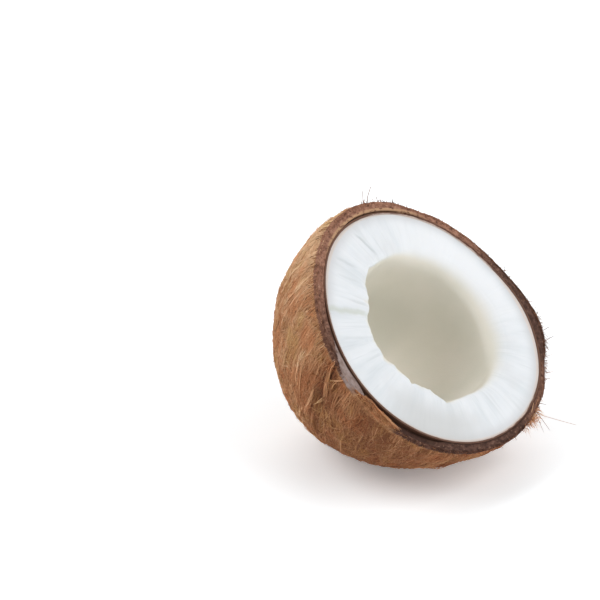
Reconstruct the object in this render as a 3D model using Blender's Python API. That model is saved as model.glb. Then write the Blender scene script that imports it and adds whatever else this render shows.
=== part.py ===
# Half a coconut, sawn across. It lies tilted on its rounded side, so the white flesh and the hollow
# face up and forwards. From the outside in it is a coat of husk fibre, the hard shell, the thin brown
# skin of the flesh, and the flesh with the nut's hollow in it. Metres, +Z up.
#
# The nut's own frame has its origin at the middle of the sawn face, +Z out of that face and +X down
# its slope. A depth is a distance below the face, towards the nut's closed end.

import math
import random

import bmesh
import bpy
from mathutils import Matrix, Vector, noise

MM = 0.001

# How the half lies
TILT = math.radians(44.9)  # of the sawn face, from level
FACE_HEIGHT = 54.3 * MM  # of the middle of the sawn face, above the surface

# The outside of the fibre coat, which every layer inside follows
NUT_RADIUS = 53.4 * MM  # at the sawn face
NUT_DEPTH = 65.8 * MM
EQUATOR_RISE = 1.5 * MM  # the widest place is just past the saw cut
END_POWER = 2.12  # 2 would be an ellipsoid, and more is blunter
LEAN_X, LEAN_Y = -0.111, -0.044  # sideways run of the nut's axis for each unit of depth
RIDGES = 3
RIDGE_ANGLE = math.radians(57)
RIDGE_HEIGHT = 1.5 * MM
RIDGE_FADE = 11.3 * MM  # further in than this the nut would be round

# The layers, from the outside in
GAP = 0.25 * MM
COAT_THICK = 1.0 * MM
SHELL_THICK = 2.9 * MM
SKIN_THICK = 0.6 * MM
SHELL_INSET = COAT_THICK + GAP
SKIN_INSET = SHELL_INSET + SHELL_THICK + GAP
FLESH_INSET = SKIN_INSET + SKIN_THICK + GAP

# How finely the round surfaces are divided
LAYER_SEGMENTS, LAYER_RINGS = 48, 20
COAT_SEGMENTS, COAT_RINGS = 126, 30
HOLLOW_SEGMENTS, HOLLOW_RINGS = 60, 24

# The grain of the coat: raised streaks that follow the nut's length
GRAIN_HEIGHT = 1.0 * MM
GRAIN_ROUND = 54.0  # noise cells round the nut
GRAIN_LONG = 2.4  # noise cells along it
GRAIN_FINE = 0.4  # strength of a second, finer noise
GRAIN_BITE = 0.3  # how far the hollows between streaks go in, as a share of the height

# Coarse strands that lie on the coat, with their tips lifted
STRANDS = 30
STRAND_SEED = 7
STRAND_RADIUS = 0.55 * MM
STRAND_POINTS = 6
STRAND_LENGTH = (18 * MM, 32 * MM)
STRAND_START = (6 * MM, 34 * MM)  # depth of the root
STRAND_SINK = 0.25 * MM
STRAND_LIFT = 1.3 * MM
LIFT_FROM = 0.55  # share of the length where the tip starts to lift
STRAND_WANDER = math.radians(7)
TIP_SHARE = 0.45  # radius of the tip over the strand's own
CLEAR_OF_FLOOR = 1.6 * MM  # no strand lies where the nut rests

# Places where the coat is scraped off beside the saw cut: angle round the nut, half width, depth
SCRAPES = (
    (math.radians(268), 13 * MM, 4.2 * MM),
    (math.radians(305), 9 * MM, 4.8 * MM),
    (math.radians(72), 6 * MM, 2.0 * MM),
    (math.radians(158), 8 * MM, 1.8 * MM),
)
SCRAPE_REACH = 2.5 * MM  # through the coat, to each side of its middle

# The hollow: its mouth, as chords between corners where the flesh broke away, and its depth
HOLLOW_DEPTH = 46.0 * MM
HOLLOW_LEAN = 0.9  # share of the nut's own lean
HOLLOW_POWER = 2.3
MOUTH = (  # angle round the nut in degrees, radius in mm
    (8, 28.5),
    (32, 29.8),
    (56, 32.6),
    (88, 33.4),
    (118, 31.8),
    (148, 31.0),
    (178, 31.2),
    (204, 32.4),
    (222, 28.8),
    (237, 28.6),
    (243, 30.0),
    (258, 30.6),
    (272, 30.8),
    (286, 28.3),
    (299, 31.3),
    (313, 29.5),
    (328, 31.9),
    (346, 29.0),
)
CHIP_DEPTH = 7.0 * MM  # the corners have faded into a round wall by here
ROUND_SIDE = math.radians(85)  # where the mouth's edge is worn round, and its opposite stays sharp
ROUNDING = 5.0 * MM
SHARP = 0.6 * MM
ROUNDING_DEPTH = 3.2 * MM
ROUND_SHARE = 1.4  # how much of the way round the change from sharp to worn takes

COLOURS = {  # base colour, roughness
    "husk_fibre": ((0.33, 0.17, 0.085), 0.95),
    "shell": ((0.13, 0.065, 0.045), 0.6),
    "testa": ((0.36, 0.19, 0.11), 0.7),
    "meat": ((0.88, 0.88, 0.86), 0.45),
}


def clear_scene():
    for thing in list(bpy.data.objects):
        bpy.data.objects.remove(thing)
    for group in list(bpy.data.collections):
        bpy.data.collections.remove(group)


def new_collection(name, helper=False):
    group = bpy.data.collections.new(name)
    bpy.context.scene.collection.children.link(group)
    group.hide_render = helper
    return group


def finish(name):
    colour, roughness = COLOURS[name]
    material = bpy.data.materials.new(name)
    material.use_nodes = True
    shader = material.node_tree.nodes["Principled BSDF"]
    shader.inputs["Base Color"].default_value = (*colour, 1)
    shader.inputs["Roughness"].default_value = roughness
    shader.inputs["Metallic"].default_value = 0
    return material


def add_object(name, bm, group):
    mesh = bpy.data.meshes.new(name)
    bm.to_mesh(mesh)
    bm.free()
    made = bpy.data.objects.new(name, mesh)
    group.objects.link(made)
    return made


def make_helper(thing):
    thing.hide_render = True
    thing.display_type = "WIRE"
    return thing


# The nut's form

LIE = Matrix.Translation((0, 0, FACE_HEIGHT)) @ Matrix.Rotation(TILT, 4, "Y")
STAND = LIE.inverted()


def smooth(value):
    value = min(max(value, 0.0), 1.0)
    return value * value * (3 - 2 * value)


def rest_flat(point, inset):
    """The nut's side is flat where it rests, each layer at its own height above the surface."""
    placed = LIE @ point
    placed.z = max(placed.z, inset)
    return STAND @ placed


def nut_point(angle, latitude, inset, raised=0.0):
    """A point of the layer that lies inset below the coat's outside. Latitude runs from a quarter
    turn at the closed end to its negative at the other half's end."""
    long_axis = NUT_DEPTH + EQUATOR_RISE - inset
    along = abs(math.sin(latitude)) ** (2 / END_POWER) * long_axis
    depth = math.copysign(along, latitude) - EQUATOR_RISE
    ridge = RIDGE_HEIGHT * (1 - inset / RIDGE_FADE) * math.cos(RIDGES * (angle - RIDGE_ANGLE))
    out = (NUT_RADIUS - inset + ridge + raised) * math.cos(latitude)
    depth += raised * math.sin(latitude)
    point = Vector((out * math.cos(angle), out * math.sin(angle), -depth))
    point += Vector((LEAN_X, LEAN_Y, 0)) * depth
    return rest_flat(point, inset)


def latitude_at(depth, inset=0.0):
    share = (depth + EQUATOR_RISE) / (NUT_DEPTH + EQUATOR_RISE - inset)
    return math.asin(min(max(share, 0.0), 1.0) ** (END_POWER / 2))


def grain(angle, latitude):
    """Raised streaks, as noise that is fine round the nut and long down it. It reads the noise on a
    cylinder, so that it meets itself round the back."""
    across = GRAIN_ROUND / (2 * math.pi)
    place = Vector((across * math.cos(angle), across * math.sin(angle), GRAIN_LONG * latitude))
    streak = 2 * noise.noise(place) + 2 * GRAIN_FINE * noise.noise(2 * place)
    fade = math.sqrt(max(math.cos(latitude), 0))
    return GRAIN_HEIGHT * fade * (max(streak, 0) + GRAIN_BITE * min(streak, 0))


def ovoid(segments, rings, place):
    """A whole closed nut, as a sphere whose points are moved to where place puts them."""
    bm = bmesh.new()
    bmesh.ops.create_uvsphere(bm, u_segments=segments, v_segments=rings, radius=1)
    for vertex in bm.verts:
        angle = math.atan2(vertex.co.y, vertex.co.x)
        latitude = -math.asin(min(max(vertex.co.z, -1.0), 1.0))
        vertex.co = place(angle, latitude)
    for face in bm.faces:
        face.smooth = True
    return bm


def saw(bm):
    """Keeps the half below the sawn face, and closes it there with a flat face."""
    everything = bm.verts[:] + bm.edges[:] + bm.faces[:]
    cut = bmesh.ops.bisect_plane(
        bm, geom=everything, plane_co=(0, 0, 0), plane_no=(0, 0, 1), clear_outer=True
    )
    edges = [part for part in cut["geom_cut"] if isinstance(part, bmesh.types.BMEdge)]
    bmesh.ops.edgeloop_fill(bm, edges=edges)
    bmesh.ops.recalc_face_normals(bm, faces=bm.faces)
    return bm


def cut_away(thing, cutter, name):
    modifier = thing.modifiers.new(name, "BOOLEAN")
    modifier.operation = "DIFFERENCE"
    modifier.solver = "EXACT"
    modifier.object = cutter


def layer(name, inset, thickness, parts, cutters):
    """One cup-shaped layer of the nut: a sawn ovoid, with the next ovoid in taken out of it."""
    outside = saw(ovoid(LAYER_SEGMENTS, LAYER_RINGS, lambda a, t: nut_point(a, t, inset)))
    cup = add_object(name, outside, parts)
    inner = inset + thickness
    inside = ovoid(LAYER_SEGMENTS, LAYER_RINGS, lambda a, t: nut_point(a, t, inner))
    core = make_helper(add_object(name + "_core", inside, cutters))
    cut_away(cup, core, "inside")
    return cup


# The husk fibre

def strand_path(draw):
    """Points of one strand, from its root down the nut, with its radius at each."""
    angle = draw.uniform(0, 2 * math.pi)
    start = draw.uniform(*STRAND_START)
    length = draw.uniform(*STRAND_LENGTH)
    turn = draw.uniform(-STRAND_WANDER, STRAND_WANDER)
    bow = draw.uniform(-STRAND_WANDER, STRAND_WANDER) / 2
    path = []
    for step in range(STRAND_POINTS):
        share = step / (STRAND_POINTS - 1)
        depth = start + length * share
        around = angle + turn * share + bow * math.sin(math.pi * share)
        lift = STRAND_LIFT * smooth((share - LIFT_FROM) / (1 - LIFT_FROM)) - STRAND_SINK * (1 - share)
        latitude = latitude_at(depth)
        point = nut_point(around, latitude, 0, grain(around, latitude) + lift)
        path.append((point, STRAND_RADIUS * (1 - (1 - TIP_SHARE) * share)))
    return path


def lies_clear(path):
    """True where a strand is on the side of the nut, not under it and not at its pole."""
    return all((LIE @ point).z > CLEAR_OF_FLOOR for point, _ in path)


def strand(name, path, group):
    """A thin tapered tube, made a closed mesh so that the coat can be joined with it."""
    curve = bpy.data.curves.new(name, "CURVE")
    curve.dimensions = "3D"
    curve.bevel_depth = 1.0
    curve.bevel_resolution = 0
    curve.use_fill_caps = True
    spline = curve.splines.new("POLY")
    spline.points.add(len(path) - 1)
    for point, (place, radius) in zip(spline.points, path):
        point.co = (*place, 1)
        point.radius = radius
    guide = bpy.data.objects.new(name, curve)
    group.objects.link(guide)
    graph = bpy.context.evaluated_depsgraph_get()
    mesh = bpy.data.meshes.new_from_object(guide.evaluated_get(graph))
    bpy.data.objects.remove(guide)
    bm = bmesh.new()
    bm.from_mesh(mesh)
    bmesh.ops.remove_doubles(bm, verts=bm.verts, dist=0.01 * MM)
    bmesh.ops.recalc_face_normals(bm, faces=bm.faces)
    return add_object(name, bm, group)


def fuse(thing, group):
    """Joins everything in the collection to thing, for good, and removes the collection."""
    modifier = thing.modifiers.new("fuse", "BOOLEAN")
    modifier.operation = "UNION"
    modifier.solver = "MANIFOLD"
    modifier.operand_type = "COLLECTION"
    modifier.collection = group
    graph = bpy.context.evaluated_depsgraph_get()
    thing.data = bpy.data.meshes.new_from_object(thing.evaluated_get(graph))
    thing.modifiers.clear()
    keep_largest(thing.data)
    for part in list(group.objects):
        bpy.data.objects.remove(part)
    bpy.data.collections.remove(group)


def keep_largest(mesh):
    """Drops the loose scraps and the closed pockets that a union can leave."""
    bm = bmesh.new()
    bm.from_mesh(mesh)
    left = set(bm.verts)
    bodies = []
    while left:
        body = {left.pop()}
        edge = set(body)
        while edge:
            edge = {e.other_vert(v) for v in edge for e in v.link_edges} - body
            body |= edge
        left -= body
        bodies.append(body)
    bodies.sort(key=len)
    for body in bodies[:-1]:
        bmesh.ops.delete(bm, geom=list(body), context="VERTS")
    bm.to_mesh(mesh)
    bm.free()


def scrape(index, angle, half_width, depth, cutters):
    """A flattened ball at the saw cut, which takes the coat off the shell there."""
    bm = bmesh.new()
    bmesh.ops.create_uvsphere(bm, u_segments=20, v_segments=10, radius=1)
    size = Matrix.Diagonal((SCRAPE_REACH, half_width, depth, 1))
    middle = nut_point(angle, latitude_at(0), COAT_THICK / 2)
    place = Matrix.Translation(middle) @ Matrix.Rotation(angle, 4, "Z") @ size
    bmesh.ops.transform(bm, matrix=place, verts=bm.verts)
    return make_helper(add_object(f"scrape_{index}", bm, cutters))


def husk_fibre(parts, cutters):
    def coat_point(angle, latitude):
        return nut_point(angle, latitude, 0, grain(angle, latitude))

    coat = add_object("husk_fibre", saw(ovoid(COAT_SEGMENTS, COAT_RINGS, coat_point)), parts)
    draw = random.Random(STRAND_SEED)
    strands = new_collection("strands")
    made = 0
    while made < STRANDS:
        path = strand_path(draw)
        if lies_clear(path):
            strand(f"strand_{made}", path, strands)
            made += 1
    fuse(coat, strands)
    inside = ovoid(LAYER_SEGMENTS, LAYER_RINGS, lambda a, t: nut_point(a, t, COAT_THICK))
    core = make_helper(add_object("husk_fibre_core", inside, cutters))
    cut_away(coat, core, "inside")
    for index, (angle, half_width, depth) in enumerate(SCRAPES):
        cut_away(coat, scrape(index, angle, half_width, depth, cutters), f"scrape_{index}")
    return coat


# The flesh and the hollow

def mouth_radius(angle):
    """The mouth's edge, a polygon with straight chords between its corners."""
    turn = math.degrees(angle) % 360
    corners = [(MOUTH[-1][0] - 360, MOUTH[-1][1]), *MOUTH, (MOUTH[0][0] + 360, MOUTH[0][1])]
    for (first, near), (second, far) in zip(corners, corners[1:]):
        if first <= turn <= second:
            share = (turn - first) / (second - first)
            return (near + (far - near) * share) * MM
    return MOUTH[0][1] * MM


def hollow_point(angle, latitude):
    """The hollow's wall: the mouth's corners fade with depth, and one side of its edge is rounded."""
    mean = sum(radius for _, radius in MOUTH) / len(MOUTH) * MM
    depth = math.sin(latitude) * HOLLOW_DEPTH
    across = max(math.cos(latitude), 0.0) ** (2 / HOLLOW_POWER)
    chips = (mouth_radius(angle) - mean) * (1 - smooth(depth / CHIP_DEPTH))
    side = 0.5 + 0.5 * math.cos(angle - ROUND_SIDE)
    worn = smooth(0.5 + (side - 0.5) * ROUND_SHARE)
    rounding = SHARP + (ROUNDING - SHARP) * worn
    flare = rounding * math.exp(-max(depth, 0) / ROUNDING_DEPTH) - rounding * 0.3
    out = (mean + chips + flare) * across
    point = Vector((out * math.cos(angle), out * math.sin(angle), -depth))
    return point + Vector((LEAN_X, LEAN_Y, 0)) * HOLLOW_LEAN * max(depth, 0)


def flesh(parts, cutters):
    outside = ovoid(LAYER_SEGMENTS, LAYER_RINGS, lambda a, t: nut_point(a, t, FLESH_INSET))
    meat = add_object("meat", saw(outside), parts)
    space = ovoid(HOLLOW_SEGMENTS, HOLLOW_RINGS, hollow_point)
    cut_away(meat, make_helper(add_object("hollow", space, cutters)), "hollow")
    return meat


# The whole half

def settle(things, frame):
    """Turns the nut as it lies, with the middle of its box over the origin."""
    graph = bpy.context.evaluated_depsgraph_get()
    coat = things[0].evaluated_get(graph).to_mesh()
    placed = [LIE @ vertex.co for vertex in coat.vertices]
    middle = Vector(
        [-(max(p[axis] for p in placed) + min(p[axis] for p in placed)) / 2 for axis in (0, 1)]
    )
    things[0].evaluated_get(graph).to_mesh_clear()
    frame.matrix_world = Matrix.Translation((*middle, 0)) @ LIE


def build():
    clear_scene()
    parts = new_collection("coconut_half")
    cutters = new_collection("cutters", helper=True)
    things = [
        husk_fibre(parts, cutters),
        layer("shell", SHELL_INSET, SHELL_THICK, parts, cutters),
        layer("testa", SKIN_INSET, SKIN_THICK, parts, cutters),
        flesh(parts, cutters),
    ]
    frame = bpy.data.objects.new("nut_frame", None)
    parts.objects.link(frame)
    bpy.context.view_layer.update()
    settle(things, frame)
    for thing in things + list(cutters.objects):
        thing.parent = frame
    for thing in things:
        thing.data.materials.append(finish(thing.name))


build()
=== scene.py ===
import math

import bpy
import numpy as np
from mathutils import Matrix, Vector, noise


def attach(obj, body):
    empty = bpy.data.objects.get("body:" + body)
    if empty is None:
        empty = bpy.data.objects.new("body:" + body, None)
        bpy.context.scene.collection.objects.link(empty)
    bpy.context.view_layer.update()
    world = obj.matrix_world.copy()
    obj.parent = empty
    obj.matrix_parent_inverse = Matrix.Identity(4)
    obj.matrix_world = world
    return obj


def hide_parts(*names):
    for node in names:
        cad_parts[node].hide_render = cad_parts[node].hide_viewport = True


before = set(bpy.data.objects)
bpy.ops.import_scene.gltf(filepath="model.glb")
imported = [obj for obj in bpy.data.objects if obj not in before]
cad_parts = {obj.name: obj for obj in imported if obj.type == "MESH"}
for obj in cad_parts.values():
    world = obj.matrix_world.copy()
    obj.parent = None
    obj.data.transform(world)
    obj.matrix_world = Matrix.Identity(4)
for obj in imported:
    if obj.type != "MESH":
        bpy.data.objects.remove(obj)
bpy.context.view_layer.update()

# Half a coconut, sawn across. Lengths are millimetres and angles degrees, unless a line says otherwise.
# The nut's own frame has its origin in the middle of the sawn face, +z out of it and +x down its slope.
nut = {
    "tilt": 44.9,  # the face's slope
    "radius": 53.4,
    "depth": 65.8,  # from the face to the closed end
    "widest": 1.5,  # how far the nut's widest place lies above the face
    "roundness": 2.12,
    "leanX": -0.111,
    "leanY": -0.044,
    "lobes": 3,
    "lobeAngle": 57.0,
    "lobeHeight": 1.5,
    "lobeFade": 11.3,  # the inset at which the lobes are gone
    # the rim's bumps and dips: where, how wide, how high
    "unevenOutside": [(30, 20, -1.4), (52, 10, -1.7), (72, 14, 1.0), (80, 15, 0.95), (149, 11, -1.0)],
    "unevenInside": [(48, 18, 0.9), (80, 20, 1.5), (208, 25, 0.9), (345, 18, 0.45)],
    "evenInset": 4.4,  # the inset at which only the inner ones are left
}
tilt = math.radians(nut["tilt"])


# Places
def rimCentre():  # the middle of the sawn face, from the frame's own shell
    places = np.array([tuple(vertex.co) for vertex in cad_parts["shell"].data.vertices])
    outwards = places @ np.array([math.sin(tilt), 0, math.cos(tilt)])
    rim = np.unique(places[outwards > outwards.max() - 1e-5].round(7), axis=0)
    return rim.mean(axis=0)


faceCentre = rimCentre()
print("middle of the sawn face", faceCentre.round(5))


def toPart(x, y, z, lowest=0.0):  # from the nut's frame to the part's, in metres, flat where the nut rests
    slope, rise = math.cos(tilt), math.sin(tilt)
    placed = np.stack([x * slope + z * rise, y, z * slope - x * rise], -1) / 1000 + faceCentre
    placed[..., 2] = np.maximum(placed[..., 2], np.asarray(lowest) / 1000)
    return placed


def lifted(points, height):  # moved out of the sawn face
    return points + height[:, None] * np.array([math.sin(tilt), 0, math.cos(tilt)]) / 1000


def smooth(value):
    value = np.clip(value, 0, 1)
    return value * value * (3 - 2 * value)


def turnFrom(angle, middle):  # in degrees, from -180 to 180
    return (np.degrees(angle) - middle + 180) % 360 - 180


def near(angle, middle, width):  # 1 at an angle in degrees, falling off over a width
    return np.exp(-((turnFrom(angle, middle) / width) ** 2))


def between(angle, first, last, soft=3.0):  # 1 between two angles in degrees, with soft ends
    away = np.abs(turnFrom(angle, (first + last) / 2))
    return smooth(((last - first) / 2 + soft - away) / (2 * soft))


def noiseAt(x, y, z):
    x, y, z = np.broadcast_arrays(x, y, z)
    found = [noise.noise(place) for place in np.stack([x, y, z], -1).reshape(-1, 3).tolist()]
    return np.array(found).reshape(x.shape)


def noiseRound(angle, scale, other):  # runs round the nut without a seam
    return noiseAt(scale * np.cos(angle), scale * np.sin(angle), other)


def lobes(angle, inset):
    turn = nut["lobes"] * (angle - math.radians(nut["lobeAngle"]))
    outside, inside = (sum(height * near(angle, middle, width) for middle, width, height in nut[which])
                       for which in ("unevenOutside", "unevenInside"))
    share = np.clip(inset / nut["evenInset"], 0, 1)
    even = nut["lobeHeight"] * (1 - inset / nut["lobeFade"]) * np.cos(turn)
    return even + outside * (1 - share) + inside * share


def rimRadius(angle, inset):
    return nut["radius"] - inset + lobes(angle, inset)


def rimLatitude(inset=0.0):
    share = nut["widest"] / (nut["depth"] + nut["widest"] - inset)
    return math.asin(share ** (nut["roundness"] / 2))


def latitudeAt(share, inset=0.0):  # share: 0 at the rim, 1 at the closed end
    start = rimLatitude(inset)
    return start + (math.pi / 2 - start) * share


def nutPoints(angle, latitude, inset=0.0, raised=0.0, lowest=None):
    along = np.abs(np.sin(latitude)) ** (2 / nut["roundness"]) * (nut["depth"] + nut["widest"] - inset)
    depth = np.copysign(along, latitude) - nut["widest"] + raised * np.sin(latitude)
    out = (rimRadius(angle, inset) + raised) * np.cos(latitude)
    x = out * np.cos(angle) + nut["leanX"] * depth
    y = out * np.sin(angle) + nut["leanY"] * depth
    return toPart(x, y, -depth, inset if lowest is None else lowest)


def facePoints(angle, radius, height, lowest=0.0):
    return toPart(radius * np.cos(angle), radius * np.sin(angle), height, lowest)


def overLine(x, y, start, ahead):  # how far along a line a place lies, and how far aside of it
    x, y = x - start[0], y - start[1]
    return x * ahead[0] + y * ahead[1], y * ahead[0] - x * ahead[1]


# Modelling
def selectOnly(piece):
    bpy.ops.object.select_all(action="DESELECT")
    piece.select_set(True)
    bpy.context.view_layer.objects.active = piece


def pick(piece, test):
    bpy.ops.object.mode_set(mode="OBJECT")
    mesh = piece.data
    for vertex in mesh.vertices:
        vertex.select = bool(test(vertex.co))
    for edge in mesh.edges:
        edge.select = all(mesh.vertices[i].select for i in edge.vertices)
    bpy.ops.object.mode_set(mode="EDIT")


def roundCup(name, size):  # a bowl of two round arcs joined by a flat rim, turned about z
    upright = (math.pi / 2, 0, 0)
    bpy.ops.object.select_all(action="DESELECT")
    bpy.ops.mesh.primitive_circle_add(vertices=4 * size["outerRings"], radius=1, rotation=upright)
    piece = bpy.context.object
    piece.name = piece.data.name = name
    bpy.ops.object.transform_apply(location=True, rotation=True, scale=True)
    bpy.ops.object.mode_set(mode="EDIT")
    bpy.ops.mesh.select_mode(type="VERT")
    bpy.ops.mesh.primitive_circle_add(vertices=4 * size["innerRings"], radius=size["inner"], rotation=upright)
    pick(piece, lambda place: place.x < -1e-5 or place.z > 1e-5)
    bpy.ops.mesh.delete(type="VERT")
    pick(piece, lambda place: place.z > -1e-5)
    bpy.ops.mesh.edge_face_add()
    bpy.ops.mesh.subdivide(number_cuts=size["rimCuts"])
    bpy.ops.object.mode_set(mode="OBJECT")
    turn = piece.modifiers.new("turn", "SCREW")
    turn.steps = turn.render_steps = size["segments"]
    turn.use_merge_vertices = True
    turn.merge_threshold = 1e-6
    bpy.ops.object.modifier_apply(modifier=turn.name)
    bpy.ops.object.mode_set(mode="EDIT")
    bpy.ops.mesh.select_all(action="SELECT")
    bpy.ops.mesh.remove_doubles(threshold=1e-5)
    bpy.ops.mesh.normals_make_consistent(inside=False)
    bpy.ops.object.mode_set(mode="OBJECT")
    return piece


def shapeCup(piece, size, outer, rim, inner):  # each zone's own rule gives the place of its points
    mesh = piece.data
    places = np.empty(len(mesh.vertices) * 3)
    mesh.vertices.foreach_get("co", places)
    places = places.reshape(-1, 3)
    far = np.linalg.norm(places, axis=1)
    angle = np.arctan2(places[:, 1], places[:, 0])
    share = np.arcsin(np.clip(-places[:, 2] / far, 0, 1)) / (math.pi / 2)
    onOuter, onInner = far > 1 - 1e-3, far < size["inner"] + 1e-3
    onRim = ~(onOuter | onInner)
    moved = np.empty_like(places)
    moved[onOuter] = outer(angle[onOuter], share[onOuter])
    moved[onInner] = inner(angle[onInner], share[onInner])
    moved[onRim] = rim(angle[onRim], (far[onRim] - size["inner"]) / (1 - size["inner"]))
    mesh.vertices.foreach_set("co", moved.ravel())
    mesh.update()


def finishPiece(piece, paint, sharp=40):
    selectOnly(piece)
    bpy.ops.object.shade_smooth_by_angle(angle=math.radians(sharp))
    piece.data.materials.clear()
    piece.data.materials.append(paint.material)
    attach(piece, "root")
    print(piece.name, len(piece.data.vertices), "points")


# Materials
class Wire:  # a socket that takes part in sums
    def __init__(self, paint, socket):
        self.paint, self.socket = paint, socket

    def maths(self, operation, *values):
        return self.paint.node("Math", {"operation": operation}, dict(enumerate(values)))

    def __add__(self, other):
        return self.maths("ADD", self, other)

    def __sub__(self, other):
        return self.maths("SUBTRACT", self, other)

    def __rsub__(self, other):
        return self.maths("SUBTRACT", other, self)

    def __mul__(self, other):
        return self.maths("MULTIPLY", self, other)

    def __truediv__(self, other):
        return self.maths("DIVIDE", self, other)

    def __pow__(self, other):
        return self.maths("POWER", self, other)

    def __abs__(self):
        return self.maths("ABSOLUTE", self)

    __radd__, __rmul__ = __add__, __mul__


class Paint:
    def __init__(self, name, finish):  # finish: what is the same all over
        self.material = bpy.data.materials.new(name)
        self.material.use_nodes = True
        self.nodes = self.material.node_tree.nodes
        self.shader = self.nodes["Principled BSDF"]
        for socket, value in finish.items():
            self.shader.inputs[socket].default_value = value

    def node(self, kind, settings=None, inputs=None, output=0):
        made = self.nodes.new("ShaderNode" + kind)
        for setting, value in (settings or {}).items():
            if setting == "stops":
                while len(made.color_ramp.elements) < len(value):
                    made.color_ramp.elements.new(1.0)
                for element, (place, colour) in zip(made.color_ramp.elements, value):
                    element.position, element.color = place, (*colour, 1)
            else:
                setattr(made, setting, value)
        for socket, value in (inputs or {}).items():
            self.join(value, made.inputs[socket])
        return Wire(self, made.outputs[output])

    def join(self, value, socket):
        if isinstance(value, Wire):
            self.material.node_tree.links.new(value.socket, socket)
        else:
            socket.default_value = value

    def show(self, socket, value):
        self.join(value, self.shader.inputs[socket])

    def step(self, value, low, high):  # 0 at low, 1 at high, smooth between; low may be above high
        return self.node("MapRange", {"interpolation_type": "SMOOTHSTEP"},
                         {"Value": value, "From Min": low, "From Max": high})

    def vector(self, x, y, z):
        return self.node("CombineXYZ", {}, {"X": x, "Y": y, "Z": z})

    def grain(self, place, scale, detail=2.0, rough=0.5):
        return self.node("TexNoise", {},
                         {"Vector": place, "Scale": scale, "Detail": detail, "Roughness": rough})

    def colours(self, value, stops):
        return self.node("ValToRGB", {"stops": stops}, {"Fac": value})

    def blend(self, share, under, over, way="MIX"):
        under, over = [(*c, 1) if isinstance(c, tuple) else c for c in (under, over)]
        return self.node("Mix", {"data_type": "RGBA", "blend_type": way}, {0: share, 6: under, 7: over}, 2)

    def lay(self, share, over, way="MIX"):  # a colour over the one that is there
        self.colour = self.blend(share, self.colour, over, way)

    def roughen(self, height, distance, strength=1.0):
        self.show("Normal", self.node(
            "Bump", {}, {"Height": height, "Distance": distance, "Strength": strength}, "Normal"))

    def findPlace(self, leaning=False):  # in the nut's frame: the place, the radius and the unit direction
        here = self.node("TexCoord", output="Object")
        place = self.node("Mapping", {"vector_type": "TEXTURE"},
                          {"Vector": here, "Location": tuple(faceCentre), "Rotation": (0, tilt, 0),
                           "Scale": (0.001, 0.001, 0.001)})
        x, y, self.z = [self.node("SeparateXYZ", {}, {"Vector": place}, axis) for axis in range(3)]
        if leaning:  # the nut leans with depth
            x, y = x + self.z * nut["leanX"], y + self.z * nut["leanY"]
        self.x, self.y, self.place = x, y, self.vector(x, y, self.z)
        self.radius = (x * x + y * y) ** 0.5
        self.turnX, self.turnY = x / self.radius, y / self.radius

    def streaks(self, scale, other, detail=2.0, rough=0.5):  # grain that runs round the nut
        return self.grain(self.vector(self.turnX * scale, self.turnY * scale, other), 1.0, detail, rough)

    def facing(self, middle):  # cosine of the angle from a direction in degrees
        return self.turnX * math.cos(math.radians(middle)) + self.turnY * math.sin(math.radians(middle))

    def inset(self, lobe):  # how far inside the nut's outline a place on the sawn face lies
        turnX, turnY, third = self.turnX, self.turnY, math.radians(nut["lobes"] * nut["lobeAngle"])
        waveX = turnX * turnX * turnX * 4.0 - turnX * 3.0
        waveY = turnY * 3.0 - turnY * turnY * turnY * 4.0
        return (waveX * math.cos(third) + waveY * math.sin(third)) * lobe + nut["radius"] - self.radius


def sawnColours(paint):  # the hard dark ring: saw marks, specks and lighter flecks
    saw = paint.streaks(24, paint.radius * 0.8, 4.0, 0.6)
    specks = paint.streaks(60, paint.radius * 1.3, 3.0, 0.6)
    dark = paint.colours(saw, [(0.30, (0.030, 0.011, 0.006)), (0.48, (0.070, 0.030, 0.019)),
                               (0.64, (0.115, 0.054, 0.037)), (0.78, (0.20, 0.11, 0.08))])
    light = paint.colours(saw, [(0.30, (0.105, 0.042, 0.025)), (0.48, (0.262, 0.119, 0.074)),
                                (0.64, (0.370, 0.187, 0.122)), (0.78, (0.52, 0.305, 0.215))])
    grey = paint.colours(saw, [(0.34, (0.21, 0.145, 0.122)), (0.48, (0.30, 0.223, 0.20)),
                               (0.64, (0.36, 0.285, 0.265))])
    paler = paint.step(paint.facing(160), -0.45, 0.55) * paint.step(paint.facing(75), 0.98, 0.6)
    paint.colour = paint.blend(paler + paint.step(paint.facing(36), 0.92, 0.99) * 0.4, dark, light)
    paint.lay(paint.step(specks, 0.46, 0.34) * 0.6, (0.035, 0.012, 0.007))
    paint.lay(paint.step(specks, 0.60, 0.72) * 0.6, (0.44, 0.26, 0.175))
    scraped = paint.facing(shellCup["scraped"]) + (saw - 0.5) * 0.02
    upper = paint.facing(shellCup["scraped"] - 90.0)  # the grey stretch narrows upwards
    wide = paint.step(paint.inset(1.1) - upper * 15.0 + (saw - 0.5) * 2.0, 0.0, 0.8)
    # the bare scraped shell, greyer, with a painted sheen
    paint.lay(paint.step(scraped, 0.966, 0.976) * wide * 0.92, grey)
    return saw, specks


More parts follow.
